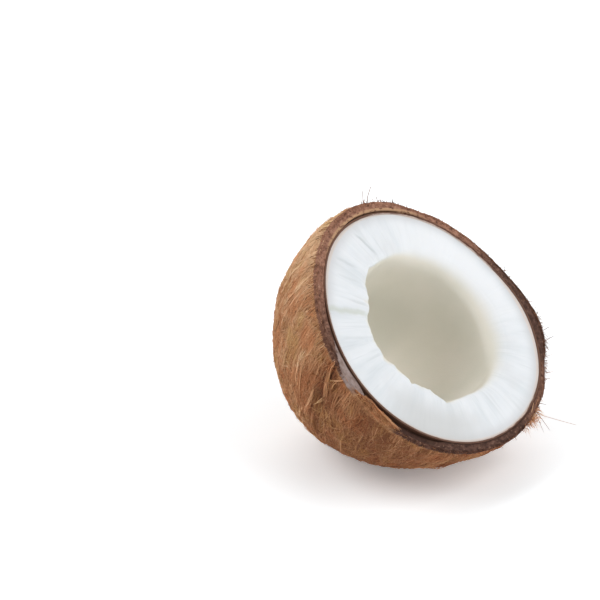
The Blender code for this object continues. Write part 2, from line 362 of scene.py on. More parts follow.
# Flesh
flesh = {
    "inset": 5.25,
    "size": {"segments": 512, "outerRings": 20, "innerRings": 60, "rimCuts": 46, "inner": 0.6},
    "mouth": [(8, 28.5), (32, 29.8), (56, 32.6), (88, 33.4), (118, 31.8), (148, 31.0), (162, 31.1),
              (178, 30.8), (190, 31.0), (199, 31.8), (202.4, 32.8), (209, 31.8), (218, 30.9), (226, 28.9),
              (236, 28.6), (243.6, 30.1), (253, 30.3), (265, 30.8), (276, 30.8), (285, 29.4), (294, 29.5),
              (299, 30.0), (301.4, 31.4), (304, 29.9), (307.6, 29.1), (317.5, 28.8), (324.5, 30.3),
              (330.8, 32.2), (340.8, 30.0), (353, 28.4)],  # angles and radii of the hollow's edge
    "nicks": 0.22,
    "cornerBlur": 0.5,  # in degrees, to each side
    "hollowDepth": 46.0,
    "hollowLean": 0.9,
    "hollowRoundness": 2.3,
    "chipDepth": 7.0,
    "roundSide": 85.0,
    "roundShare": 1.4,
    "rounding": (0.6, 5.0),  # on the crisp side and on the worn side
    "roundingDepth": 3.2,
    "edgeDrop": (0.3, 1.1),  # how far the face falls towards the mouth
    "edgeWidth": (0.6, 2.6),
    "fan": 0.24,  # heights of the face's waves, from the coarse fan to the broad swells
    "fine": 0.07,
    "folds": 0.32,
    "swells": 0.16,
    "rimDrop": 0.25,
    "crackAngle": 242.5,
    "crackDepth": 0.22,
    "creaseDepth": 0.22,
    "creases": [(192.1, 45.9, 188.6, 34.3, 1.0), (212.5, 46.4, 210.0, 36.5, 0.6),
                (234.6, 38.0, 235.1, 29.0, 0.5), (222.0, 44.0, 219.0, 33.0, 0.35),
                (258.0, 45.0, 259.5, 35.0, 0.4)],  # from, to, and how strong
    "facets": [(216, 2.6, 5.0, 0.5), (231, 3.0, 4.0, 0.4), (249, 2.2, 4.5, 0.6), (262, 3.4, 5.5, 0.45),
               (279, 2.6, 4.5, 0.6), (291, 2.0, 3.5, 0.5), (309, 2.8, 4.0, 0.7), (320, 2.4, 4.0, 0.5),
               (337, 3.0, 4.5, 0.6), (190, 2.0, 4.0, 0.3)],  # angle, reach, width, depth
}
mouthStep = 0.25
mouthAngles = np.arange(0, 360, mouthStep)
mouthCorners = np.array(flesh["mouth"])
mouthRadii = np.interp(mouthAngles, mouthCorners[:, 0], mouthCorners[:, 1], period=360)
blurSteps = int(flesh["cornerBlur"] / mouthStep)
mouthRadii = np.mean([np.roll(mouthRadii, step) for step in range(-blurSteps, blurSteps + 1)], axis=0)
meanMouth = mouthRadii.mean()


def mouthRadius(angle):
    nick = flesh["nicks"] * noiseRound(angle, 11, 4.0) * (1 - worn(angle))
    return np.interp(np.degrees(angle) % 360, mouthAngles, mouthRadii, period=360) + nick


def worn(angle):  # 0 at the crisp side of the mouth, 1 at the side whose edge is worn round
    side = 0.5 * np.cos(angle - math.radians(flesh["roundSide"]))
    return smooth(0.5 + side * flesh["roundShare"])


def mixed(pair, share):
    return pair[0] + (pair[1] - pair[0]) * share


def mouthEdge(angle):
    return mouthRadius(angle) + 0.7 * (mixed(flesh["rounding"], worn(angle)) - flesh["rounding"][0])


def creaseLine(crease):  # its start, its direction and its length
    start, end = (radius * np.array([math.cos(math.radians(angle)), math.sin(math.radians(angle))])
                  for angle, radius in (crease[:2], crease[2:4]))
    length = float(np.linalg.norm(end - start))
    return start.tolist(), ((end - start) / length).tolist(), length


def overCrack(x, y):
    crack = math.radians(flesh["crackAngle"])
    return overLine(x, y, (0.0, 0.0), (math.cos(crack), math.sin(crack)))


def faceRelief(angle, radius):
    x, y = radius * np.cos(angle), radius * np.sin(angle)
    fromEdge = np.maximum(radius - mouthEdge(angle), 0)
    share = worn(angle)
    height = -mixed(flesh["edgeDrop"], share) * np.exp(-fromEdge / mixed(flesh["edgeWidth"], share))
    fan, fine = noiseRound(angle, 8, radius * 0.05), noiseRound(angle, 26, radius * 0.06 + 9)
    folds = between(angle, 180, 270, 20) * noiseRound(angle, 15, radius * 0.07)
    height += (flesh["fan"] * fan + flesh["fine"] * fine + flesh["folds"] * folds
               + flesh["swells"] * noiseAt(x / 13, y / 13, 3.0))
    for middle, reach, width, depth in flesh["facets"]:
        across = turnFrom(angle, middle) / 57.3 * radius / width
        height -= depth * np.clip(1 - across**2 - (fromEdge / reach) ** 2, 0, 1)
    along, aside = overCrack(x, y)
    aside = aside + 0.5 * noiseAt(radius / 3, 0, 7)
    height -= flesh["crackDepth"] * np.exp(-((aside / 0.9) ** 2)) * smooth((along - 27) / 4)
    for crease in flesh["creases"]:
        start, ahead, length = creaseLine(crease)
        along, aside = overLine(x, y, start, ahead)
        aside = aside + 0.35 * noiseAt(along / 2.5, 0, crease[0])
        ends = smooth(along / 3 + 0.3), smooth((length - along) / 3 + 0.3)
        height -= flesh["creaseDepth"] * crease[4] * np.exp(-((aside / 0.55) ** 2)) * ends[0] * ends[1]
    return height - flesh["rimDrop"] * np.exp(-(rimRadius(angle, flesh["inset"]) - radius) / 0.35)


def fleshOuter(angle, share):
    points = nutPoints(angle, latitudeAt(share, flesh["inset"]), flesh["inset"])
    rim = share < 1e-4
    points[rim] = facePoints(angle[rim], rimRadius(angle[rim], flesh["inset"]), -flesh["rimDrop"])
    return points


def fleshFace(angle, share):
    first, last = mouthEdge(angle), rimRadius(angle, flesh["inset"])
    radius = first + (last - first) * share**1.25
    return facePoints(angle, radius, faceRelief(angle, radius))


def hollowWall(angle, share):
    latitude = math.pi / 2 * share**1.5
    depth = np.sin(latitude) * flesh["hollowDepth"]
    across = np.maximum(np.cos(latitude), 0) ** (2 / flesh["hollowRoundness"])
    rounding = mixed(flesh["rounding"], worn(angle))
    chips = (mouthRadius(angle) - meanMouth) * (1 - smooth(depth / flesh["chipDepth"]))
    flare = rounding * np.exp(-depth / flesh["roundingDepth"]) - 0.3 * rounding - 0.7 * flesh["rounding"][0]
    out = (meanMouth + chips + flare) * across
    out += 0.35 * noiseRound(angle, 2.2, depth / 13) * smooth(depth / 5)
    x = out * np.cos(angle) + nut["leanX"] * flesh["hollowLean"] * depth
    y = out * np.sin(angle) + nut["leanY"] * flesh["hollowLean"] * depth
    edge = faceRelief(angle, mouthEdge(angle)) * np.exp(-depth / 2)
    return toPart(x, y, edge - depth)


def fleshPaint():
    paint = Paint("flesh", {"Roughness": 0.5, "IOR": 1.42, "Specular IOR Level": 0.35,
                            "Subsurface Weight": 0.2, "Subsurface Radius": (1.0, 0.9, 0.8),
                            "Subsurface Scale": 0.003})
    paint.findPlace()
    fan = paint.streaks(7, paint.radius * 0.035, 3.0, 0.55)
    fine = paint.streaks(30, paint.radius * 0.05)
    cloud = paint.grain(paint.place, 0.07)
    paint.colour = paint.colours(fan, [(0.28, (0.67, 0.705, 0.73)), (0.5, (0.75, 0.775, 0.80)),
                                       (0.7, (0.785, 0.805, 0.83))])
    paint.lay(paint.step(fine, 0.53, 0.75) * 0.5, (0.62, 0.65, 0.67))
    paint.lay(paint.step(cloud, 0.48, 0.72) * 0.6, (0.70, 0.715, 0.73))
    inset = paint.inset(0.8)
    # painted shade: the face darker towards its outer rim, less so round 276 degrees
    rimShade = paint.step(inset, 12.0, 5.0) * (1.0 - paint.step(paint.facing(276), 0.75, 1.0) * 0.8)
    paint.lay(rimShade * rimShade * 0.85, (0.60, 0.60, 0.61))
    # painted shade: the lower part of the face darker
    lower = paint.step(paint.facing(321), 0.84, 1.0) * paint.step(paint.radius, 30.0, 42.0)
    paint.lay(lower * 0.8, (0.575, 0.58, 0.575))
    # painted light: the upper part of the face lighter, away from the rim
    upper = paint.step(paint.facing(120), 0.5, 1.0) * (1.0 - rimShade)
    paint.lay(upper * 0.9, (0.82, 0.835, 0.855))
    paint.lay(paint.step(inset, 6.1, 5.2) * 0.6, (0.68, 0.55, 0.46))
    wobble = (paint.grain(paint.vector(paint.radius * 0.25, 0.0, 0.0), 1.0) - 0.5) * 2.5
    along, aside = overCrack(paint.x, paint.y)
    # painted shade along the crack
    crackShade = paint.step(abs(aside + wobble), 2.1, 0.1) * paint.step(along, 27.0, 33.0)
    paint.lay(crackShade * 0.65, (0.56, 0.59, 0.52))
    # painted shade along each crease
    for crease in flesh["creases"]:
        start, ahead, length = creaseLine(crease)
        along, aside = overLine(paint.x, paint.y, start, ahead)
        line = paint.step(abs(aside + wobble * 0.4), 1.0, 0.1) * paint.step(along, -1.0, 3.0)
        line = line * paint.step(along, length + 1.0, length - 3.0)
        paint.lay(line * 0.65 * crease[4], (0.52, 0.55, 0.56))
    side = 0.5 + 0.5 * paint.facing(flesh["roundSide"])
    depth = 0.0 - paint.z + (cloud - 0.5) * 1.5 * side
    inside = paint.step((depth - (0.2 + side * 0.3)) / (0.7 + side * 3.6), 0.0, 1.0)
    # the hollow's wall: its own greyish ivory, a little darker than the face as painted shade
    wall = paint.colours(paint.grain(paint.place, 0.05, 3.0), [
        (0.35, (0.735, 0.71, 0.622)), (0.5, (0.765, 0.733, 0.648)), (0.65, (0.785, 0.745, 0.663))])
    shaded = paint.step(paint.facing(152), 0.6, 1.0) * paint.step(paint.z, -16.0, -30.0)
    paint.lay(inside, paint.blend(shaded * 0.9, wall, (0.645, 0.63, 0.55)))
    paint.show("Base Color", paint.colour)
    paint.show("Roughness", 0.55 - inside * 0.12 + (fine - 0.5) * 0.1)
    pores = paint.grain(paint.place, 1.1, 4.0, 0.6)
    paint.roughen(pores * 0.6 + fine * (1.0 - inside), 0.00012, 0.5)
    return paint


def makeFlesh():
    piece = roundCup("flesh", flesh["size"])
    shapeCup(piece, flesh["size"], fleshOuter, fleshFace, hollowWall)
    finishPiece(piece, fleshPaint(), 38)
    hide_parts("meat")


# Skin of the flesh
fleshSkin = {
    "insets": (4.5, 5.22),
    "size": {"segments": 480, "outerRings": 16, "innerRings": 16, "rimCuts": 4, "inner": 0.9},
    "unevenness": 0.15,
    "peach": (0.58, 0.46, 0.40),
    "brown": (0.13, 0.060, 0.036),
}


def layerSide(inset):  # a rule for one side of a layer of the nut
    return lambda angle, share: nutPoints(angle, latitudeAt(share, inset), inset)


def skinTop(angle, share):
    first, last = (rimRadius(angle, inset) for inset in reversed(fleshSkin["insets"]))
    radius = first + (last - first) * share
    height = 0.05 + fleshSkin["unevenness"] * noiseRound(angle, 24, radius * 0.4)
    return facePoints(angle, radius, height * np.sin(math.pi * share))


def skinPaint():
    paint = Paint("fleshSkin", {"Roughness": 0.6, "Specular IOR Level": 0.3})
    paint.findPlace()
    patches = paint.grain(paint.place, 0.25, 3.0)
    pale = paint.step(paint.inset(0.83) + (patches - 0.5) * 1.1, 4.75, 5.15)
    pale = pale * paint.step(paint.facing(75), -0.9, 0.3) * paint.step(paint.z, -1.5, -0.5)
    paint.show("Base Color", paint.blend(pale, fleshSkin["brown"], fleshSkin["peach"]))
    paint.roughen(paint.grain(paint.place, 3.0, 3.0), 0.0001, 0.5)
    return paint


def makeSkin():
    piece = roundCup("fleshSkin", fleshSkin["size"])
    outer, inner = fleshSkin["insets"]
    shapeCup(piece, fleshSkin["size"], layerSide(outer), skinTop, layerSide(inner))
    finishPiece(piece, skinPaint())
    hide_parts("testa")


# Shell
shellCup = {
    "insets": (0.95, 4.42),
    "size": {"segments": 600, "outerRings": 44, "innerRings": 30, "rimCuts": 11, "inner": 0.9},
    "sawMarks": 0.10,
    "chips": 0.28,
    "crevice": 0.8,  # how far the shell stands off the skin where a dark gap shows
    "notch": 156.4,
    "sunkenPlace": (284.0, 322.0),
    "sunken": 1.5,
    "edgeDrop": 0.2,  # how far its sides end under the sawn top
    "scraped": 271.0,  # the middle of the bare grey stretch, whose grey is partly painted sheen
}


def shellCrevice(angle):
    gap = between(angle, 240, 292, 8) * (0.7 + 0.6 * noiseRound(angle, 5, 2.0))
    gap += 0.8 * between(angle, 148, 190, 6) + 0.6 * between(angle, *shellCup["sunkenPlace"], 5)
    gap += 0.9 * near(angle, shellCup["notch"], 2.6)
    return shellCup["crevice"] * np.clip(gap, 0, 1.6)


def shellSunken(angle):
    return shellCup["sunken"] * between(angle, *shellCup["sunkenPlace"], 6)


def shellTop(angle, share):
    first = rimRadius(angle, shellCup["insets"][1]) + shellCrevice(angle)
    last = rimRadius(angle, shellCup["insets"][0])
    radius = first + (last - first) * share
    saw, pits = noiseRound(angle, 18, radius * 0.9), noiseRound(angle, 60, radius * 1.6)
    height = shellCup["sawMarks"] * saw + shellCup["chips"] * np.minimum(pits + 0.1, 0) - 0.02
    height -= shellSunken(angle)
    edges = np.exp(-share * 9) + np.exp(-(1 - share) * 9)
    return facePoints(angle, radius, height - 0.18 * edges)


def shellSide(angle, share, inset, raised):  # beside the rim it lies as low as the sawn top does
    points = nutPoints(angle, latitudeAt(share**1.4, inset), inset, raised)
    upper = smooth(1 - share / 0.06)
    return lifted(points, -(shellSunken(angle) * upper + shellCup["edgeDrop"] * upper))


def shellOuter(angle, share):
    inset = shellCup["insets"][0]
    latitude = latitudeAt(share**1.4, inset)
    grooves = noiseRound(angle, 22, latitude * 2.0) * np.cos(latitude)
    return shellSide(angle, share, inset, np.minimum(0.25 * grooves, 0.1) - 0.1)


def shellInner(angle, share):
    return shellSide(angle, share, shellCup["insets"][1], shellCrevice(angle) * smooth(1 - share / 0.07))


def shellPaint():
    paint = Paint("shell", {"Roughness": 0.65, "Specular IOR Level": 0.22})
    paint.findPlace()
    inset = paint.inset(1.05)
    saw, specks = sawnColours(paint)
    golden = paint.step(paint.facing(180), 0.78, 0.93) * paint.step(inset, 2.2, 3.0)
    golden = golden * paint.step(saw, 0.34, 0.50) * paint.step(inset, 4.2, 3.7)
    paint.lay(golden * 0.85, (0.50, 0.30, 0.17))
    # painted shade: a dark line in the crevice along the shell's inner edge
    inner = paint.step(inset, 3.3, 4.1) * (1.0 - paint.step(paint.facing(217), 0.86, 0.96) * 0.7)
    paint.lay(inner * 0.65, (0.035, 0.013, 0.008))
    sunkenShade = paint.step(paint.facing(303), 0.94, 0.98)  # painted shade where the shell lies low
    paint.lay(sunkenShade * 0.6, (0.045, 0.018, 0.012))
    scratches = paint.streaks(34, paint.z * 0.1, 3.0)
    bark = paint.colours(scratches, [(0.35, (0.05, 0.024, 0.015)), (0.6, (0.15, 0.08, 0.05))])
    paint.lay(paint.step(paint.z, -0.9, -1.6) * (1.0 - sunkenShade), bark)  # the outside, below the saw cut
    paint.show("Base Color", paint.colour)
    paint.show("Roughness", 0.7 + (specks - 0.5) * 0.3)
    paint.roughen(saw + specks * 0.7, 0.0003, 0.7)
    return paint


def makeShell():
    piece = roundCup("shellCup", shellCup["size"])
    shapeCup(piece, shellCup["size"], shellOuter, shellTop, shellInner)
    finishPiece(piece, shellPaint())
    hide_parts("shell")


# Coat of fibres
fibreCoat = {
    "size": {"segments": 480, "outerRings": 132, "innerRings": 14, "rimCuts": 3, "inner": 0.9},
    "insideInset": 1.2,
    "tongue": (284.0, 297.0, 2.0),  # where the coat's edge reaches in over the shell, and how far
    "lumps": (44.0, 2.6, 0.42),  # how many round the nut, how many down it, and their height
    "streaks": (140.0, 4.0, 0.26),
    "tufts": (10.0, 0.55),  # how many across the nut's radius, and their height
    "bite": 0.5,  # how much of a furrow's depth is left
    "flapHeight": 0.8,
    "swirl": (14.0, 16.0),  # the fibres' lean from straight down the nut, and what the lower left adds
    "sink": 0.35,  # the matted ground lies this far under the fibres on it
    "rimRelief": 0.3,
    "rimSink": 0.15,
    "trim": (0.028, 0.07),  # the latitudes between which the cropped edge reaches its full height
    "fray": 0.4,
    "flap": 266.6,  # to the left of this angle the fibres lie in a thick, lighter mat
    "flapSlope": 0.44,  # how far that mat's edge turns round the nut on its way down
}


def swirl(angle):
    return np.radians(fibreCoat["swirl"][0] + fibreCoat["swirl"][1] * near(angle, 285, 45))


def waves(angle, latitude, wave):
    around, down, height = wave
    turned = angle - np.tan(swirl(angle)) * latitude
    swell = 2 * noiseRound(turned, around / (2 * math.pi), down * latitude)
    return height * (np.maximum(swell, 0) + fibreCoat["bite"] * np.minimum(swell, 0))


def relief(angle, latitude):
    fade = np.sqrt(np.maximum(np.cos(latitude), 0))
    scale, height = fibreCoat["tufts"]
    tufts = noiseAt(scale * np.cos(angle) * np.cos(latitude), scale * np.sin(angle) * np.cos(latitude),
                    scale * np.sin(latitude))
    streaks = waves(angle, latitude, fibreCoat["lumps"]) + waves(angle, latitude, fibreCoat["streaks"])
    return fade * streaks + height * tufts


def pastFlap(angle, latitude):  # degrees from the edge of the thick mat
    return np.degrees(angle) % 360 - fibreCoat["flap"] - fibreCoat["flapSlope"] * np.degrees(latitude)


def flap(angle, latitude):  # 1 on the thick mat, 0 past its edge
    ragged = 2.0 * noiseAt(latitude * 7, 0.0, 5.0)
    return smooth((ragged - pastFlap(angle, latitude) + 1.0) / 2.0) * between(angle, 180, 300, 8)


def cropped(angle, latitude):  # 1 at the sawn edge, 0 where the coat is whole
    first, last = fibreCoat["trim"]
    return 1 - smooth((latitude - first) / (last - first) + 0.5 * noiseRound(angle, 25, 2.0))


def coatHeight(angle, latitude, whole):
    mat = fibreCoat["flapHeight"] * flap(angle, latitude) * smooth(1 - latitude / 0.9)
    ground, edge = relief(angle, latitude) + mat, cropped(angle, latitude)
    return edge * (fibreCoat["rimRelief"] * ground - fibreCoat["rimSink"]) + (1 - edge) * (ground + whole)


def coatTongue(angle):
    first, last, reach = fibreCoat["tongue"]
    return reach * between(angle, first, last, 5)


def coatOuter(angle, share):
    latitude = latitudeAt(share**1.1)
    tufts = noiseRound(angle, 30, 9 * latitude)
    raised = coatHeight(angle, latitude, 0.3 * tufts * np.cos(latitude) - fibreCoat["sink"])
    points = nutPoints(angle, latitude, 0.0, raised, 0.0)
    rim = share < 1e-4
    fray = fibreCoat["fray"] * np.minimum(noiseRound(angle[rim], 40, 1.0), 0)
    points[rim] = lifted(points[rim], fray)
    return points


def coatTop(angle, share):
    outerEdge = coatHeight(angle, np.full_like(angle, rimLatitude()), -fibreCoat["sink"])
    outerEdge = rimRadius(angle, 0.0) + outerEdge
    first = rimRadius(angle, fibreCoat["insideInset"]) - coatTongue(angle)
    radius = first + (outerEdge - first) * share
    height = fibreCoat["fray"] * noiseRound(angle, 40, radius) - 0.1
    return facePoints(angle, radius, np.minimum(height, 0.15) + 0.12 * coatTongue(angle) * (1 - share))


def coatInner(angle, share):
    inset = fibreCoat["insideInset"]
    inwards = coatTongue(angle) * (1 - smooth(share / 0.06))
    return nutPoints(angle, latitudeAt(share, inset), inset, -inwards)


def coatPaint():
    paint = Paint("fibreCoat", {"Roughness": 0.85, "Specular IOR Level": 0.15})
    paint.findPlace(leaning=True)
    mat = paint.grain(paint.place, 0.9, 5.0, 0.7)
    mix = paint.streaks(26, paint.z * 0.06, 4.0, 0.65) * 0.55 + mat * 0.45
    fibrous = paint.colours(mix, [(0.32, (0.10, 0.038, 0.014)), (0.46, (0.24, 0.105, 0.045)),
                                  (0.56, (0.38, 0.19, 0.09)), (0.70, (0.54, 0.32, 0.17))])
    inset = paint.inset(1.3)
    ridge = paint.blend(paint.step(inset + (mat - 0.5) * 1.2, 2.0, 2.7) * 0.8, fibrous, (0.46, 0.29, 0.19))
    sawnColours(paint)
    paint.lay(paint.step(paint.facing(sum(fibreCoat["tongue"][:2]) / 2), 0.975, 0.992), ridge)
    spot = paint.step(paint.facing(282.5), 0.9990, 0.9997) * paint.step(inset, 0.2, 0.9)
    paint.lay(spot, (0.26, 0.07, 0.035))
    top = paint.step(paint.z + (mat - 0.5) * 2.5, -2.0, -0.9)
    paint.show("Base Color", paint.blend(top, fibrous, paint.colour))
    paint.roughen(mix, 0.0010, 0.9)
    return paint


def makeCoat():
    piece = roundCup("fibreCoat", fibreCoat["size"])
    shapeCup(piece, fibreCoat["size"], coatOuter, coatTop, coatInner)
    finishPiece(piece, coatPaint(), 80)
    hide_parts("husk_fibre")


# Fibres
fibres = {
    "laidOne": {"seed": 11, "count": 4900, "length": (6, 22), "radius": (0.07, 0.15),
                "height": (-0.25, 0.15), "arch": (0.0, 0.25), "heading": 8, "bend": 14, "wander": 6,
                "tone": 0.46, "rimStart": 0.2},
    "laidTwo": {"seed": 12, "count": 4900, "length": (5, 17), "radius": (0.06, 0.13),
                "height": (-0.15, 0.25), "arch": (0.0, 0.3), "heading": 11, "bend": 20, "wander": 9,
                "tone": 0.48, "rimStart": 0.1},
    "laidThree": {"seed": 17, "count": 4900, "length": (4, 13), "radius": (0.055, 0.11),
                  "height": (-0.1, 0.3), "arch": (0.0, 0.4), "heading": 16, "bend": 28, "wander": 12,
                  "tone": 0.50, "rimStart": 0.05},
    "mattedOne": {"seed": 13, "count": 7000, "length": (2.5, 7), "radius": (0.05, 0.10),
                  "height": (-0.1, 0.4), "arch": (0.0, 0.4), "heading": 38, "bend": 55, "wander": 26,
                  "tone": 0.49, "rimStart": 0.0},
    "mattedTwo": {"seed": 14, "count": 7000, "length": (1.5, 5), "radius": (0.045, 0.09),
                  "height": (0.0, 0.5), "arch": (0.0, 0.5), "heading": 80, "bend": 80, "wander": 34,
                  "tone": 0.48, "rimStart": 0.0},
    "curls": {"seed": 15, "count": 90, "length": (5, 14), "radius": (0.06, 0.12),
              "height": (0.1, 0.5), "arch": (0.3, 1.0), "heading": 50, "bend": 110, "wander": 30,
              "tone": 0.66, "rimStart": 0.0},
    "fuzz": {"seed": 16, "count": 4500, "length": (1.0, 3.2), "radius": (0.03, 0.055),
             "height": (-0.2, 0.1), "arch": (0.0, 0.0), "heading": 110, "bend": 60, "wander": 30,
             "tone": 0.56, "rimStart": 0.0, "stand": (0.3, 1.3)},
}
longStations = np.array([0.0, 0.04, 0.26, 0.5, 0.74, 0.95, 1.0])
midStations = np.array([0.0, 0.1, 0.5, 0.9, 1.0])
shortStations = np.array([0.0, 0.3, 0.65, 1.0])
fibreTaper = {7: np.array([0.0, 0.8, 1.0, 1.0, 0.9, 0.6, 0.0]), 5: np.array([0.0, 1.0, 1.0, 0.8, 0.0]),
              4: np.array([0.0, 1.0, 0.8, 0.0])}
fibreColours = [(0.0, (0.080, 0.024, 0.009)), (0.25, (0.22, 0.080, 0.033)), (0.5, (0.435, 0.187, 0.081)),
                (0.75, (0.64, 0.345, 0.175)), (1.0, (0.84, 0.57, 0.35))]
domeRadius = 57  # fibres are laid out on a round dome of radius 1, which stands for this many millimetres
clearance = 0.03  # between a fibre and the ground


def fibrePaint():
    paint = Paint("fibres", {"Roughness": 0.75, "Specular IOR Level": 0.25})
    paint.findPlace()
    tone, along = (paint.node("Attribute", {"attribute_name": name}, output="Fac")
                   for name in ("tone", "along"))
    blotches = paint.grain(paint.vector(tone * 90, along * 5, 0.0), 1.0)
    paint.colour = paint.colours(tone + (blotches - 0.5) * 0.22, fibreColours)
    patches = paint.grain(paint.place, 0.11, 3.0)
    paint.lay(paint.step(patches, 0.49, 0.62) * 0.8, (1.0, 0.85, 0.76), "MULTIPLY")  # redder
    paint.lay(paint.step(patches, 0.49, 0.36) * 0.8, (0.97, 1.0, 0.82), "MULTIPLY")  # yellower
    paint.show("Base Color", paint.colour)
    return paint


def strandPiece(name, paths, radii, tones, paint):  # tapered strands, 4-sided, closed at their tips
    count, points = radii.shape
    curve = bpy.data.curves.new(name, "CURVE")
    curve.dimensions = "3D"
    curve.bevel_depth, curve.bevel_resolution = 1.0, 0
    for path, radius in zip(np.concatenate([paths, np.ones((count, points, 1))], axis=2), radii / 1000):
        spline = curve.splines.new("POLY")
        spline.points.add(points - 1)
        spline.points.foreach_set("co", path.ravel())
        spline.points.foreach_set("radius", radius)
    piece = bpy.data.objects.new(name, curve)
    bpy.context.collection.objects.link(piece)
    selectOnly(piece)
    bpy.ops.object.convert(target="MESH")
    mesh = piece.data
    index = np.arange(len(mesh.vertices))
    strand, station, corner = index // (4 * points), index % (4 * points) // 4, index % 4
    for title, values in (("tone", np.clip(tones, 0, 1)[strand]), ("along", station / (points - 1))):
        mesh.attributes.new(title, "FLOAT", "POINT").data.foreach_set("value", values.astype(np.float32))
    layStrandMap(mesh, count, points, strand, station, corner)
    bpy.ops.object.mode_set(mode="EDIT")
    bpy.ops.mesh.select_all(action="SELECT")
    bpy.ops.mesh.remove_doubles(threshold=1e-7)
    bpy.ops.object.mode_set(mode="OBJECT")
    finishPiece(piece, paint, 180)


def layStrandMap(mesh, count, points, strand, station, corner):  # every strand gets a cell of its own
    for layer in list(mesh.uv_layers):
        mesh.uv_layers.remove(layer)
    layer = mesh.uv_layers.new(name="OFBake")
    used = np.empty(len(mesh.loops), dtype=np.int32)
    mesh.loops.foreach_get("vertex_index", used)
    used = used.reshape(-1, 4)
    sides = corner[used]
    wraps = (sides.max(axis=1) - sides.min(axis=1)) == 3
    sides = np.where(wraps[:, None] & (sides == 0), 4, sides)
    columns = math.ceil(math.sqrt(count / 2))
    rows = math.ceil(count / columns)
    cell = strand[used]
    across = (cell % columns + 0.08 + 0.84 * station[used] / (points - 1)) / columns
    up = (cell // columns + 0.12 + 0.76 * sides / 4) / rows
    layer.data.foreach_set("uv", np.stack([across, up], -1).astype(np.float32).ravel())


def onDome(angle, low):
    return np.stack([np.sqrt(1 - low**2) * np.cos(angle), np.sqrt(1 - low**2) * np.sin(angle), -low], -1)


def coatPlace(unit):
    angle = np.arctan2(unit[..., 1], unit[..., 0])
    return angle, latitudeAt(np.arcsin(np.clip(-unit[..., 2], 0, 1)) / (math.pi / 2))


def onCoat(unit, raised, radius):
    angle, latitude = coatPlace(unit)
    edge = cropped(angle, latitude)  # beside the cut the fibres lie under the cropped edge
    height = coatHeight(angle, latitude, raised) - 0.35 * edge
    return nutPoints(angle, latitude, 0.0, height, radius + clearance)


def toneOf(start):  # patches and streaks of the fibres' own, with painted shade in the furrows and beside the thick mat's edge, and painted light on the ridges
    angle, latitude = coatPlace(start)
    patch = (0.10 * noiseAt(*(start * 3.2).T) + 0.20 * noiseAt(*(start * 10 + 4).T)
             + 0.12 * noiseAt(*(start * 24).T))
    streaks = waves(angle, latitude, (110.0, 3.0, 1.0))
    # the thick mat's own lighter tone; lighter round 218 and 205 degrees is painted light, darker round 315
    # degrees is painted shade
    light = 0.13 * flap(angle, latitude) + 0.10 * near(angle, 218, 36) - 0.06 * near(angle, 315, 36)
    light += near(angle, 205, 18) * (0.20 * smooth(1 - latitude / 0.5) + 0.22 * smooth(1 - latitude / 0.2))
    shade = np.exp(-(((pastFlap(angle, latitude) - 2.0) / 2.4) ** 2)) * smooth(1.3 - latitude / 0.4)
    # the relief term paints shade in the furrows and light on the ridges
    return patch + 0.12 * (relief(angle, latitude) - 0.15) + 0.07 * streaks + light - 0.28 * shade


def spread(rng, pair, count):
    return rng.uniform(pair[0], pair[1], count)


def unitRows(vectors):
    return vectors / np.linalg.norm(vectors, axis=-1, keepdims=True)


def walkStrands(rng, style, start):  # paths over the dome, one row for each strand
    count = len(start)
    stations = shortStations if "stand" in style else longStations if style["length"][1] > 10 else midStations
    down = unitRows(np.array([0, 0, -1.0]) + start * start[:, 2:3] + 1e-9)
    lean = swirl(np.arctan2(start[:, 1], start[:, 0]))
    heading = (np.radians(rng.normal(0, style["heading"], count)) + lean)[:, None]
    ahead = unitRows(down * np.cos(heading) + np.cross(start, down) * np.sin(heading))
    length = spread(rng, style["length"], count) / domeRadius
    bend = np.radians(rng.normal(0, style["bend"], count))
    place, walked = start, [start]
    for step in np.diff(stations):
        place = unitRows(place + ahead * (length * step)[:, None])
        over = place[:, 2] > 0
        place[over, 2] *= -1
        ahead[over, 2] *= -1
        turning = (bend * step + np.radians(rng.normal(0, style["wander"], count)) * math.sqrt(step))[:, None]
        ahead = ahead * np.cos(turning) + np.cross(place, ahead) * np.sin(turning)
        ahead = unitRows(ahead - place * np.sum(ahead * place, axis=1, keepdims=True))
        walked.append(place)
    return np.stack(walked, axis=1), stations


def makeFibres(name, style, paint):
    rng = np.random.default_rng(style["seed"])
    count = style["count"]
    angle = rng.uniform(0, 2 * math.pi, count)
    start = onDome(angle, np.clip(rng.uniform(-style["rimStart"], 1, count), 0, 0.9995))
    unit, stations = walkStrands(rng, style, start)
    height = spread(rng, style["height"], count)[:, None]
    arch = spread(rng, style["arch"], count)[:, None] * rng.uniform(0, 1, (count, 1))
    raised = height + arch * np.sin(math.pi * stations) * rng.uniform(0.5, 1.5, (count, len(stations)))
    if "stand" in style:
        raised = height + spread(rng, style["stand"], count)[:, None] * stations**0.8
    radius = spread(rng, style["radius"], count)[:, None] * fibreTaper[len(stations)]
    higher = height[:, 0] + 0.5 * arch[:, 0]
    # fibres that lie higher are lighter and lower ones darker: painted light and shade
    tones = style["tone"] + toneOf(start) + rng.normal(0, 0.09, count) + 0.10 * higher
    strandPiece(name, onCoat(unit, raised, radius), radius, tones, paint)


# Locks: bundles of coarse fibres that lie close together
locks = {"seed": 21, "count": 120, "strands": 8, "length": (9, 26), "spread": 0.55, "radius": (0.07, 0.15),
         "height": (-0.05, 0.25), "lift": 0.7, "heading": 9, "bend": 18, "wander": 6, "tone": 0.55}


